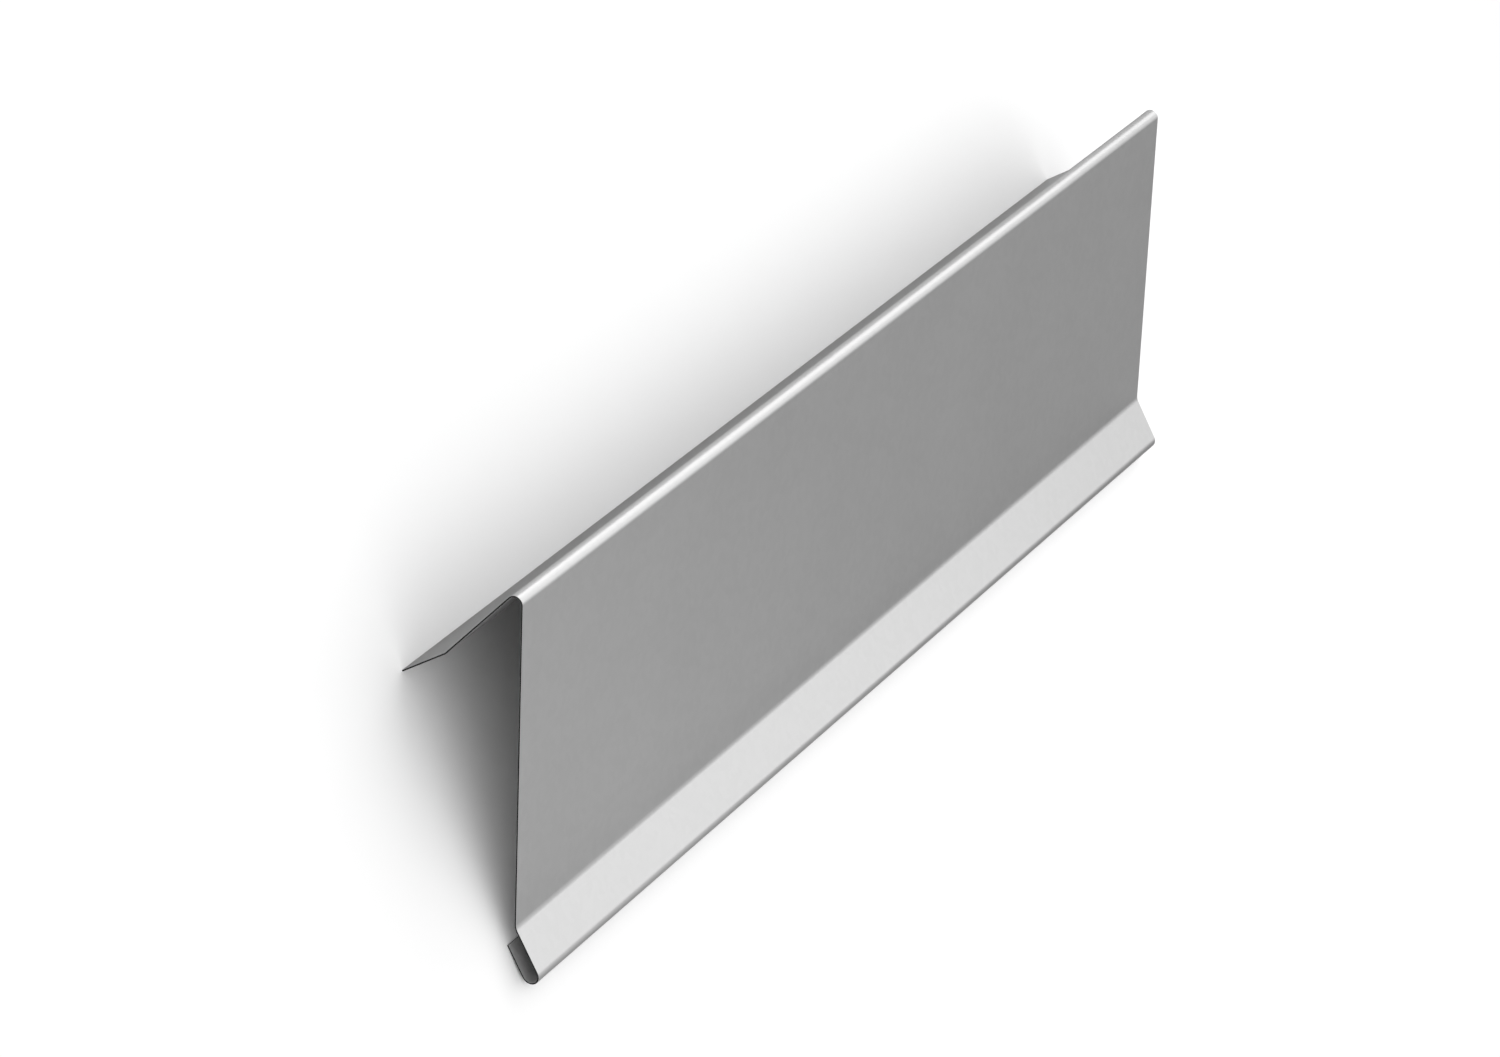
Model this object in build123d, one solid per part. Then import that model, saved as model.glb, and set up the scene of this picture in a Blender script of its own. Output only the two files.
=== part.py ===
from build123d import *
import math
import os

# Verge flashing: one strip of thin sheet, folded along its length.
# Across the section, from the roof edge to the drip edge: an upturned tip, a roof flange,
# a narrow nose, a tall outer face, an outward drip kick and an open hem under the kick.

# Sheet
length = 500.0
thickness = 0.6

# Straight width of each leg, between bends
tip_width = 20.4
flange_width = 37.4
face_width = 123.7
kick_width = 16.3
hem_width = 12.5

# Inside radius of each bend
tip_bend_radius = 1.0
nose_radius = 2.5
kick_bend_radius = 5.0
hem_radius = 2.9

# Angle between each leg and the next: how far the sheet turns at the bend
tip_bend_angle = 14.5
nose_angle = 138.9
kick_bend_angle = 30.7
hem_angle = 180.0

# Legs in order from the roof edge: width, then the inside radius and turn of the bend after it.
# A turn is positive where the weather side is inside the bend, negative where the wall side is.
legs = [
    (tip_width, tip_bend_radius, tip_bend_angle),
    (flange_width, nose_radius, -nose_angle),
    (face_width, kick_bend_radius, kick_bend_angle),
    (kick_width, hem_radius, -hem_angle),
]


def side_line(start, outer_turns):
    """Line along one side of the sheet, from the roof edge, with the outer face upright.

    outer_turns is the sign of the turns where this side is on the outside of the bend.
    """
    point = start
    heading = roof_heading
    edges = []
    for width, inside_radius, turn in legs:
        flat = PolarLine(point, width, angle=heading)
        on_outside = turn * outer_turns > 0
        radius = inside_radius + thickness if on_outside else inside_radius
        bend = JernArc(flat @ 1, flat % 1, radius, turn)
        edges += [flat, bend]
        point = bend @ 1
        heading += turn
    edges.append(PolarLine(point, hem_width, angle=heading))
    return edges


# Section of the sheet: its wall side and its weather side, joined by the two square-cut edges
roof_heading = nose_angle - tip_bend_angle - 90
roof_corner = Vector(0, 0)
weather_corner = PolarLine(roof_corner, thickness, angle=roof_heading + 90) @ 1
wall_side = side_line(roof_corner, 1)
weather_side = side_line(weather_corner, -1)
hem_corner = weather_side[-1] @ 1
cut_edges = [Line(roof_corner, weather_corner), Line(wall_side[-1] @ 1, hem_corner)]
section = make_face(wall_side + weather_side + cut_edges)

# Unheld, the strip lies face up on the corners of its two long edges, the roof edge and the hem's.
# The section leans over until those two corners are level.
drop = weather_corner.Y - hem_corner.Y
reach = hem_corner.X - weather_corner.X
lean = math.degrees(math.atan2(drop, reach))
lying = section.rotate(Axis.Z, lean)

# Origin: middle of the footprint, on the floor, with the length along Y
box = lying.bounding_box()
lying = Pos(-box.center().X, -box.min.Y) * lying
folded_sheet = extrude(Plane.XZ * lying, length / 2, both=True)

os.makedirs("parts", exist_ok=True)
export_step(folded_sheet, "parts/folded_sheet.step")
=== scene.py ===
import math

import bpy
from mathutils import Matrix, Vector


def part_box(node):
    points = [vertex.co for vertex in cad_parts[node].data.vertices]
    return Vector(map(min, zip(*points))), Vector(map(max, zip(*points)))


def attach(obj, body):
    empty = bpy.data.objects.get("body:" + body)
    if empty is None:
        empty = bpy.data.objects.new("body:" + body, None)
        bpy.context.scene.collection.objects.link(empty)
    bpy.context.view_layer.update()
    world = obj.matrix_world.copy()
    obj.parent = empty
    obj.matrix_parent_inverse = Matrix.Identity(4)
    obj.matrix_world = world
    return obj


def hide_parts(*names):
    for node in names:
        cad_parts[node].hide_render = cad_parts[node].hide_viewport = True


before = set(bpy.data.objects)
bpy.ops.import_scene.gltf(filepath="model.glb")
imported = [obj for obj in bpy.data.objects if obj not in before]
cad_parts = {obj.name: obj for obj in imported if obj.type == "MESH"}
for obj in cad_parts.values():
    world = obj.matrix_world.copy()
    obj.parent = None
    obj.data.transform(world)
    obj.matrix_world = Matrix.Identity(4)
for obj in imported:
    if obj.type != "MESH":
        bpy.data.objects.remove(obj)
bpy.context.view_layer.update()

scene = bpy.context.scene


# folded sheet: metres and degrees, legs listed from the roof edge to the hem
sheetSpec = {
    "thickness": 0.0006,
    "tipWidth": 0.0204,
    "flangeWidth": 0.0374,
    "faceWidth": 0.1237,
    "kickWidth": 0.0163,
    "hemWidth": 0.0125,
    "tipBend": (0.0010, 14.5),      # inside radius, turn towards the weather side
    "noseBend": (0.0025, -138.9),   # a minus sign turns towards the wall side
    "kickBend": (0.0050, 30.7),
    "hemBend": (0.0029, -180.0),
    "arcStep": 4.0,                 # degrees per facet round a bend
    "flatStep": 0.012,              # facet size on the flats
    "fewestFacets": (2, 3),         # on a flat, round a bend
    "edgeEase": 0.00004,            # rounding of the sheared corners
    "easeSteps": 3,
    "patches": {                    # a surface's place in the flat pattern, what runs across and up it
        "weather": (0.0, "width", "length"),
        "wall": (0.5, "width", "length"),
        "nearEnd": (1.0, "width", "depth"),
        "farEnd": (1.5, "width", "depth"),
        "roofEdge": (2.5, "length", "depth"),
        "hemEdge": (3.5, "length", "depth"),
    },
    "wallFrom": 0.4,                # place in the flat pattern from which a point is on the wall side
}


def sectionRows(spec):
    # one row per fold line: wall side point, normal to the weather side, flat width so far, bend mask
    legs = [
        (spec["tipWidth"], spec["tipBend"]),
        (spec["flangeWidth"], spec["noseBend"]),
        (spec["faceWidth"], spec["kickBend"]),
        (spec["kickWidth"], spec["hemBend"]),
        (spec["hemWidth"], None),
    ]
    straightDown = -90              # heading of the face, reached after the tip bend and the nose
    heading = math.radians(straightDown - spec["noseBend"][1] - spec["tipBend"][1])
    fewestOnFlat, fewestRoundBend = spec["fewestFacets"]
    point = Vector((0, 0))
    flatWidth = 0.0
    rows = []

    def addRow(bend):
        normal = Vector((-math.sin(heading), math.cos(heading)))
        rows.append((point.copy(), normal, flatWidth, bend))

    addRow(0.0)
    for width, bend in legs:
        steps = max(fewestOnFlat, round(width / spec["flatStep"]))
        for _ in range(steps):
            point += width / steps * Vector((math.cos(heading), math.sin(heading)))
            flatWidth += width / steps
            addRow(0.0)
        if bend is None:
            continue
        insideRadius, turn = bend
        side = 1 if turn > 0 else -1
        wallRadius = insideRadius + (spec["thickness"] if turn > 0 else 0)
        middleRadius = insideRadius + spec["thickness"] / 2
        steps = max(fewestRoundBend, round(abs(turn) / spec["arcStep"]))
        centre = point + side * wallRadius * Vector((-math.sin(heading), math.cos(heading)))
        for step in range(steps):
            heading += math.radians(turn) / steps
            flatWidth += middleRadius * math.radians(abs(turn)) / steps
            point = centre - side * wallRadius * Vector((-math.sin(heading), math.cos(heading)))
            addRow(0.0 if step == steps - 1 else 1.0)
    return rows


def layDown(rows, thickness):
    # the strip lies on the weather corners of its two long edges, with its middle over the origin
    roofCorner, hemCorner = (rows[end][0] + rows[end][1] * thickness for end in (0, -1))
    lean = Matrix.Rotation(math.atan2(roofCorner.y - hemCorner.y, hemCorner.x - roofCorner.x), 2)
    turned = [(lean @ point, lean @ normal, width, bend) for point, normal, width, bend in rows]
    outline = [point + normal * depth for point, normal, _, _ in turned for depth in (0.0, thickness)]
    xs = [spot.x for spot in outline]
    shift = Vector((-(min(xs) + max(xs)) / 2, -min(spot.y for spot in outline)))
    return [(point + shift, normal, width, bend) for point, normal, width, bend in turned]


def easeStations(spec):
    # from a sheared corner inwards: distance from the edge, inset of both sides, angle of the normal
    ease, steps = spec["edgeEase"], spec["easeSteps"]
    angles = [math.pi / 2 * (1 - step / steps) for step in range(steps + 1)]
    return [(ease * (1 - math.sin(a)), ease * (1 - math.cos(a)), a) for a in angles]


def acrossStations(rows, spec):
    # from the roof edge to the hem: the values of a row, then inset, edge angle and edge direction
    def easedEdge(row, inward):
        point, normal, width, bend = row
        outward = inward * Vector((-normal.y, normal.x))
        return [
            (point - outward * distance, normal, width + inward * distance, bend, inset, angle, outward)
            for distance, inset, angle in easeStations(spec)
        ]

    noEdge = (0.0, 0.0, Vector((0, 0)))
    between = [(*row, *noEdge) for row in rows[1:-1]]
    return easedEdge(rows[0], 1) + between + easedEdge(rows[-1], -1)[::-1]


def alongStations(box, spec):
    # from the near end to the far end: y, inset, edge angle, edge sign
    near, far = box[0].y, box[1].y
    ease = easeStations(spec)
    count = round((far - near) / spec["flatStep"])
    between = [(near + (far - near) * step / count, 0.0, 0.0, 1) for step in range(1, count)]
    nearEdge = [(near + distance, inset, angle, -1) for distance, inset, angle in ease]
    farEdge = [(far - distance, inset, angle, 1) for distance, inset, angle in reversed(ease)]
    return nearEdge + between + farEdge


def sheetPoints(across, along, thickness, box):
    # every point of the weather side, then every point of the wall side
    points = {key: [] for key in ("place", "normal", "width", "length", "depth", "bend")}
    middleY = (box[0].y + box[1].y) / 2
    for weather in (True, False):
        for y, insetY, angleY, signY in along:
            for point, normal, width, bend, insetX, angleX, outward in across:
                inset = insetX + insetY
                depth = thickness - inset if weather else inset
                spot = point + normal * depth
                x = min(max(spot.x, box[0].x), box[1].x)    # the frame's box is taken from facets
                facing = normal if weather else -normal
                flat = (facing * math.cos(angleX) + outward * math.sin(angleX)) * math.cos(angleY)
                points["place"].append((x, y, spot.y))
                points["normal"].append(Vector((flat.x, signY * math.sin(angleY), flat.y)).normalized())
                points["width"].append(width)
                points["length"].append(y - middleY)
                points["depth"].append(depth)
                points["bend"].append(bend)
    return points


def sheetFaces(rowCount, stationCount):
    # corners and surface of every face
    wallStart = rowCount * stationCount
    faces = []
    for j in range(stationCount - 1):
        for i in range(rowCount - 1):
            a = j * rowCount + i
            quad = (a, a + 1, a + 1 + rowCount, a + rowCount)
            faces.append((quad, "weather"))
            faces.append((tuple(wallStart + v for v in reversed(quad)), "wall"))
    for j in range(stationCount - 1):
        for i, surface, turn in ((0, "roofEdge", 1), (rowCount - 1, "hemEdge", -1)):
            a = j * rowCount + i
            b = a + rowCount
            faces.append(((a, b, wallStart + b, wallStart + a)[::turn], surface))
    for i in range(rowCount - 1):
        for j, surface, turn in ((0, "nearEnd", -1), (stationCount - 1, "farEnd", 1)):
            a = j * rowCount + i
            faces.append(((a, a + 1, wallStart + a + 1, wallStart + a)[::turn], surface))
    return faces


def flatCoords(points, faces, patches):
    # the sheet unfolded, in metres, with each surface in its own patch
    coords = []
    for corners, surface in faces:
        patch, across, up = patches[surface]
        for corner in corners:
            coords += (points[across][corner] + patch, points[up][corner])
    return coords


def foldedSheet(spec, box):
    thickness = spec["thickness"]
    across = acrossStations(layDown(sectionRows(spec), thickness), spec)
    along = alongStations(box, spec)
    points = sheetPoints(across, along, thickness, box)
    faces = sheetFaces(len(across), len(along))

    mesh = bpy.data.meshes.new("foldedSheet")
    mesh.from_pydata(points["place"], [], [corners for corners, _ in faces])
    isCut = [surface not in ("weather", "wall") for _, surface in faces]
    mesh.polygons.foreach_set("material_index", [int(cut) for cut in isCut])
    mesh.polygons.foreach_set("use_smooth", [True] * len(faces))
    flatMap = mesh.uv_layers.new(name="flatPattern")
    flatMap.data.foreach_set("uv", flatCoords(points, faces, spec["patches"]))
    bendMask = mesh.attributes.new("bendMask", "FLOAT", "POINT")
    bendMask.data.foreach_set("value", points["bend"])
    mesh.update()
    mesh.normals_split_custom_set_from_vertices(points["normal"])
    sheet = bpy.data.objects.new("foldedSheet", mesh)
    scene.collection.objects.link(sheet)
    return sheet


# node helpers

def addNode(tree, kind, label, **settings):
    node = tree.nodes.new(kind)
    node.label = label
    for name, value in settings.items():
        setattr(node, name, value)
    return node


def newMaterial(name):
    material = bpy.data.materials.new(name)
    material.use_nodes = True
    tree = material.node_tree
    return material, tree, tree.nodes["Principled BSDF"]


def blendOf(tree, label, start, *terms):
    # start plus each (value socket, weight)
    total = start
    for index, (value, weight) in enumerate(terms):
        step = addNode(tree, "ShaderNodeMath", label + " " + str(index + 1), operation="MULTIPLY_ADD")
        tree.links.new(value, step.inputs[0])
        step.inputs[1].default_value = weight
        if isinstance(total, float):
            step.inputs[2].default_value = total
        else:
            tree.links.new(total, step.inputs[2])
        total = step.outputs["Value"]
    return total


def gradeOf(tree, label, value, start, end, low=0.0, high=1.0, ease="LINEAR"):
    # low at start, high at end
    grade = addNode(tree, "ShaderNodeMapRange", label, interpolation_type=ease)
    for name, level in (("From Min", start), ("From Max", end), ("To Min", low), ("To Max", high)):
        grade.inputs[name].default_value = level
    tree.links.new(value, grade.inputs["Value"])
    return grade.outputs["Result"]


def axisOf(tree, label, vector, axis):
    split = addNode(tree, "ShaderNodeSeparateXYZ", label)
    tree.links.new(vector, split.inputs["Vector"])
    return split.outputs[axis]


def greyOf(level):
    return (level, level, level, 1.0)


def finishMetal(tree, shader, spec, tone, rough, height):
    # tone as a share of the colour, height in metres
    tinted = addNode(tree, "ShaderNodeVectorMath", "tone on colour", operation="SCALE")
    tinted.inputs[0].default_value = spec["colour"]
    tree.links.new(tone, tinted.inputs["Scale"])
    bump = addNode(tree, "ShaderNodeBump", "relief")
    bump.inputs["Strength"].default_value = 1.0
    bump.inputs["Distance"].default_value = 1.0
    tree.links.new(height, bump.inputs["Height"])
    tree.links.new(tinted.outputs["Vector"], shader.inputs["Base Color"])
    tree.links.new(rough, shader.inputs["Roughness"])
    tree.links.new(bump.outputs["Normal"], shader.inputs["Normal"])
    shader.inputs["Specular Tint"].default_value = greyOf(spec["edgeTint"])


def grainGroup():
    # streaks along the roll, broad clouds and fine pits, each a value around 0
    group = bpy.data.node_groups.new("rolledGrain", "ShaderNodeTree")
    sockets = group.interface
    sockets.new_socket("Vector", in_out="INPUT", socket_type="NodeSocketVector")
    for name in ("Streak Width", "Streak Length", "Cloud Size", "Pit Size"):
        sockets.new_socket(name, in_out="INPUT", socket_type="NodeSocketFloat")
    for name in ("Streaks", "Clouds", "Pits"):
        sockets.new_socket(name, in_out="OUTPUT", socket_type="NodeSocketFloat")
    given = addNode(group, "NodeGroupInput", "given")
    result = addNode(group, "NodeGroupOutput", "result")
    for name, across, along, detail in (
        ("Streaks", "Streak Width", "Streak Length", 3.0),
        ("Clouds", "Cloud Size", "Cloud Size", 2.0),
        ("Pits", "Pit Size", "Pit Size", 1.0),
    ):
        size = addNode(group, "ShaderNodeCombineXYZ", name + " size")
        size.inputs["Z"].default_value = 1.0
        group.links.new(given.outputs[across], size.inputs["X"])
        group.links.new(given.outputs[along], size.inputs["Y"])
        scaled = addNode(group, "ShaderNodeVectorMath", name + " scale", operation="DIVIDE")
        group.links.new(given.outputs["Vector"], scaled.inputs[0])
        group.links.new(size.outputs["Vector"], scaled.inputs[1])
        noise = addNode(group, "ShaderNodeTexNoise", name, noise_dimensions="2D")
        noise.inputs["Scale"].default_value = 1.0
        noise.inputs["Detail"].default_value = detail
        group.links.new(scaled.outputs["Vector"], noise.inputs["Vector"])
        centred = blendOf(group, name + " around 0", -0.5, (noise.outputs["Fac"], 1.0))
        group.links.new(centred, result.inputs[name])
    return group


def placeGrain(tree, group, vector, sizes):
    grain = addNode(tree, "ShaderNodeGroup", "rolled grain", node_tree=group)
    tree.links.new(vector, grain.inputs["Vector"])
    for name, value in sizes.items():
        grain.inputs[name].default_value = value
    return grain.outputs


# finish of both sides, with painted shade on the wall side: lengths in metres, tones as shares of the
# colour
zincSpec = {
    "colour": (0.57, 0.57, 0.57),
    "edgeTint": 0.3,                # how much the zinc film keeps of the gloss seen along the surface
    "roughness": 0.40,
    "grain": {"Streak Width": 0.0007, "Streak Length": 0.11, "Cloud Size": 0.05, "Pit Size": 0.0005},
    "spangleSize": 0.0025,
    "borderScale": 2.5,             # waves in the border of a crystal, and how far they reach, in crystals
    "borderReach": 0.5,
    "spangleTone": 0.03,
    "streakTone": 0.03,
    "cloudTone": 0.016,
    "spangleRoughness": 0.01,
    "streakRoughness": 0.02,
    "cloudRoughness": 0.012,
    "bendRoughness": -0.03,         # the folds are rubbed a little smoother
    "pitDepth": 0.000002,
    "streakDepth": 0.0000006,
    "wallPaintedShade": -0.17,              # the wall side keeps a duller film, and its colour is darkened as painted shade
    "wallMetallic": 0.5,
    "wallRoughness": 0.16,
}


def spangleOf(tree, flat, spec):
    # crystals of the zinc with ragged borders, one value around 0 for each
    scaled = addNode(tree, "ShaderNodeVectorMath", "spangle scale", operation="SCALE")
    scaled.inputs["Scale"].default_value = 1 / spec["spangleSize"]
    tree.links.new(flat, scaled.inputs[0])
    wander = addNode(tree, "ShaderNodeTexNoise", "ragged borders", noise_dimensions="2D")
    wander.inputs["Scale"].default_value = spec["borderScale"]
    tree.links.new(scaled.outputs["Vector"], wander.inputs["Vector"])
    ragged = addNode(tree, "ShaderNodeVectorMath", "ragged cells", operation="MULTIPLY_ADD")
    ragged.inputs[1].default_value = (spec["borderReach"], spec["borderReach"], 0.0)
    tree.links.new(wander.outputs["Color"], ragged.inputs[0])
    tree.links.new(scaled.outputs["Vector"], ragged.inputs[2])
    cells = addNode(tree, "ShaderNodeTexVoronoi", "spangle", voronoi_dimensions="2D")
    cells.inputs["Scale"].default_value = 1.0
    tree.links.new(ragged.outputs["Vector"], cells.inputs["Vector"])
    cellValue = addNode(tree, "ShaderNodeSeparateColor", "one value a cell")
    tree.links.new(cells.outputs["Color"], cellValue.inputs["Color"])
    return blendOf(tree, "spangle around 0", -0.5, (cellValue.outputs["Red"], 1.0))


def zincSheet(spec, wallFrom, group):
    material, tree, shader = newMaterial("zincSheet")
    flat = addNode(tree, "ShaderNodeUVMap", "flat pattern", uv_map="flatPattern").outputs["UV"]
    grain = placeGrain(tree, group, flat, spec["grain"])
    spangle = spangleOf(tree, flat, spec)
    bend = addNode(tree, "ShaderNodeAttribute", "bends", attribute_name="bendMask").outputs["Fac"]
    onWall = addNode(tree, "ShaderNodeMath", "wall side", operation="GREATER_THAN")
    onWall.inputs[1].default_value = wallFrom
    tree.links.new(axisOf(tree, "across the sheet", flat, "X"), onWall.inputs[0])
    wall = onWall.outputs["Value"]

    tone = blendOf(
        tree, "tone", 1.0,
        (spangle, spec["spangleTone"]),
        (grain["Streaks"], spec["streakTone"]),
        (grain["Clouds"], spec["cloudTone"]),
        # painted shade: the wall side's colour is made darker
        (wall, spec["wallPaintedShade"]),
    )
    rough = blendOf(
        tree, "roughness", spec["roughness"],
        (spangle, spec["spangleRoughness"]),
        (grain["Streaks"], spec["streakRoughness"]),
        (grain["Clouds"], spec["cloudRoughness"]),
        (bend, spec["bendRoughness"]),
        (wall, spec["wallRoughness"]),
    )
    metal = blendOf(tree, "metal", 1.0, (wall, spec["wallMetallic"] - 1.0))
    height = blendOf(
        tree, "height", 0.0,
        (grain["Pits"], spec["pitDepth"]),
        (grain["Streaks"], spec["streakDepth"]),
    )
    tree.links.new(metal, shader.inputs["Metallic"])
    finishMetal(tree, shader, spec, tone, rough, height)
    return material


# finish of the cut edges, whose near-black colour is painted shade
cutSpec = {
    # painted shade: the cut faces are coloured near black, as if turned away from the lamps
    "colour": (0.018, 0.018, 0.0185),
    "edgeTint": 0.4,
    "roughness": 0.55,
    "grain": {"Streak Width": 0.00009, "Streak Length": 0.003, "Cloud Size": 0.004, "Pit Size": 0.00012},
    "burnish": 0.35,                # share of the thickness that the shear blade rubbed
    "burnishBlur": 0.1,             # softness of that band's border, as a share of the thickness
    "burnishWander": 0.6,           # how far the border strays, as a share of the thickness
    "burnishTone": 0.5,
    "burnishRoughness": -0.14,
    "pitRoughness": 0.2,
    "tearTone": 0.6,
    "tearDepth": 0.000012,
}


def shearedEdge(spec, thickness, group):
    material, tree, shader = newMaterial("shearedEdge")
    flat = addNode(tree, "ShaderNodeUVMap", "flat pattern", uv_map="flatPattern").outputs["UV"]
    grain = placeGrain(tree, group, flat, spec["grain"])

    # the blade rubs the weather side of the cut smooth and tears the rest
    depth = blendOf(
        tree, "ragged depth", 0.0,
        (axisOf(tree, "depth of the cut", flat, "Y"), 1.0),
        (grain["Clouds"], thickness * spec["burnishWander"]),
    )
    border = thickness * (1 - spec["burnish"])
    blur = thickness * spec["burnishBlur"]
    rubbed = gradeOf(tree, "rubbed band", depth, border - blur, border + blur, ease="SMOOTHSTEP")

    tone = blendOf(
        tree, "tone", 1.0,
        (rubbed, spec["burnishTone"]),
        (grain["Streaks"], spec["tearTone"]),
    )
    rough = blendOf(
        tree, "roughness", spec["roughness"],
        (rubbed, spec["burnishRoughness"]),
        (grain["Pits"], spec["pitRoughness"]),
    )
    height = blendOf(
        tree, "height", 0.0,
        (grain["Streaks"], spec["tearDepth"]),
        (grain["Pits"], spec["tearDepth"]),
    )
    shader.inputs["Metallic"].default_value = 1.0
    finishMetal(tree, shader, spec, tone, rough, height)
    return material


sheet = foldedSheet(sheetSpec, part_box("folded_sheet"))
rolledGrain = grainGroup()
sheet.data.materials.append(zincSheet(zincSpec, sheetSpec["wallFrom"], rolledGrain))
sheet.data.materials.append(shearedEdge(cutSpec, sheetSpec["thickness"], rolledGrain))
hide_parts("folded_sheet")
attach(sheet, "root")
print("folded sheet made,", len(sheet.data.polygons), "faces")


# floor, lamps and world: metres and degrees
studioSpec = {
    "floorRadius": 30.0,
    "floorColour": 0.9,
    "whiteFrom": (0.32, 0.7),       # distance from the strip's middle where white begins and is full
    "horizonLevel": 0.09,
    "zenithLevel": 1.55,
    "aim": (0.0, 0.0, 0.03),
    "panelDistance": 2.5,
    "panels": {                     # turn from +Y towards +X, height, size, radiance
        "backLeftPanel": (-30, 24, (1.3, 1.4), 1.37),
        "leftPanel": (-60, 18, (1.3, 1.0), 2.48),
        "backPanel": (2, 42, (1.6, 1.0), 0.72),
    },
    "card": {"place": (0.6, 0.4, 0.25), "facing": (-1, 0, 0), "size": (0.4, 0.5), "radiance": 0.25},
}


def paleFloor(spec):
    material, tree, shader = newMaterial("paleFloor")
    shader.inputs["Base Color"].default_value = greyOf(spec["floorColour"])
    shader.inputs["Roughness"].default_value = 1.0
    shader.inputs["Specular IOR Level"].default_value = 0.0

    # the floor takes the shadow near the strip, and shows plain white further out
    place = addNode(tree, "ShaderNodeTexCoord", "place on the floor")
    distance = addNode(tree, "ShaderNodeVectorMath", "distance", operation="LENGTH")
    tree.links.new(place.outputs["Object"], distance.inputs[0])
    further = gradeOf(tree, "further out", distance.outputs["Value"], *spec["whiteFrom"], ease="SMOOTHSTEP")
    rays = addNode(tree, "ShaderNodeLightPath", "rays").outputs
    seen = blendOf(
        tree, "seen", 0.0,
        (rays["Is Camera Ray"], 1.0),
        (rays["Is Glossy Ray"], 1.0),
        (rays["Is Transmission Ray"], 1.0),
    )
    share = addNode(tree, "ShaderNodeMath", "white share", operation="MULTIPLY")
    tree.links.new(seen, share.inputs[0])
    tree.links.new(further, share.inputs[1])
    white = addNode(tree, "ShaderNodeEmission", "plain white")
    mix = addNode(tree, "ShaderNodeMixShader", "floor and white")
    tree.links.new(share.outputs["Value"], mix.inputs["Fac"])
    tree.links.new(shader.outputs["BSDF"], mix.inputs[1])
    tree.links.new(white.outputs["Emission"], mix.inputs[2])
    tree.links.new(mix.outputs["Shader"], tree.nodes["Material Output"].inputs["Surface"])
    return material


def makeFloor(spec):
    reach = spec["floorRadius"]
    corners = [(-reach, -reach, 0), (reach, -reach, 0), (reach, reach, 0), (-reach, reach, 0)]
    mesh = bpy.data.meshes.new("floor")
    mesh.from_pydata(corners, [], [(0, 1, 2, 3)])
    mesh.materials.append(paleFloor(spec))
    floor = bpy.data.objects.new("floor", mesh)
    scene.collection.objects.link(floor)


def makePanel(name, place, facing, size, radiance):
    lamp = bpy.data.lights.new(name, "AREA")
    lamp.shape = "RECTANGLE"
    lamp.size, lamp.size_y = size
    lamp.energy = radiance * math.pi * lamp.size * lamp.size_y
    holder = bpy.data.objects.new(name, lamp)
    holder.location = place
    holder.rotation_euler = Vector(facing).to_track_quat("-Z", "Y").to_euler()
    holder.visible_camera = False
    scene.collection.objects.link(holder)


def makeLamps(spec):
    for name, (turn, height, size, radiance) in spec["panels"].items():
        turn, height = math.radians(turn), math.radians(height)
        level = math.cos(height)
        outward = Vector((math.sin(turn) * level, math.cos(turn) * level, math.sin(height)))
        place = Vector(spec["aim"]) + outward * spec["panelDistance"]
        makePanel(name, place, -outward, size, radiance)
    makePanel("card", **spec["card"])


def makeWorld(spec):
    # soft sky, brightest overhead
    world = bpy.data.worlds.new("studio")
    world.use_nodes = True
    tree = world.node_tree
    sky = tree.nodes["Background"]
    sky.inputs["Color"].default_value = greyOf(1.0)
    direction = addNode(tree, "ShaderNodeTexCoord", "direction").outputs["Generated"]
    upward = axisOf(tree, "upward share", direction, "Z")
    level = gradeOf(tree, "grade", upward, 0.0, 1.0, spec["horizonLevel"], spec["zenithLevel"])
    tree.links.new(level, sky.inputs["Strength"])
    scene.world = world


makeFloor(studioSpec)
makeLamps(studioSpec)
makeWorld(studioSpec)
scene.view_settings.view_transform = "Standard"
print("studio made")


# camera: the view of the upright strip, carried over to the strip as it lies
cameraSpec = {
    "lens": 138.28,
    "sensor": 36.0,
    "clip": (0.05, 100.0),
    "place": (-0.5248, -1.7231, 1.2105),
    "right": (0.87649, 0.48003, 0.03668),       # axes of the view, for the upright strip
    "down": (0.24645, -0.38192, -0.89073),
    "forward": (-0.41356, 0.78975, -0.45305),
    "lean": 65.374,                             # degrees from upright to lying
}


def makeCamera(spec):
    lens = bpy.data.cameras.new("photoView")
    lens.lens = spec["lens"]
    lens.sensor_width = spec["sensor"]
    lens.clip_start, lens.clip_end = spec["clip"]
    camera = bpy.data.objects.new("photoView", lens)
    turn = Matrix.Rotation(-math.radians(spec["lean"]), 3, "Y")
    right, down, forward = (turn @ Vector(spec[key]) for key in ("right", "down", "forward"))
    camera.matrix_world = Matrix((right, -down, -forward)).transposed().to_4x4()
    camera.location = spec["place"]
    scene.collection.objects.link(camera)
    scene.camera = camera


makeCamera(cameraSpec)
print("camera set")
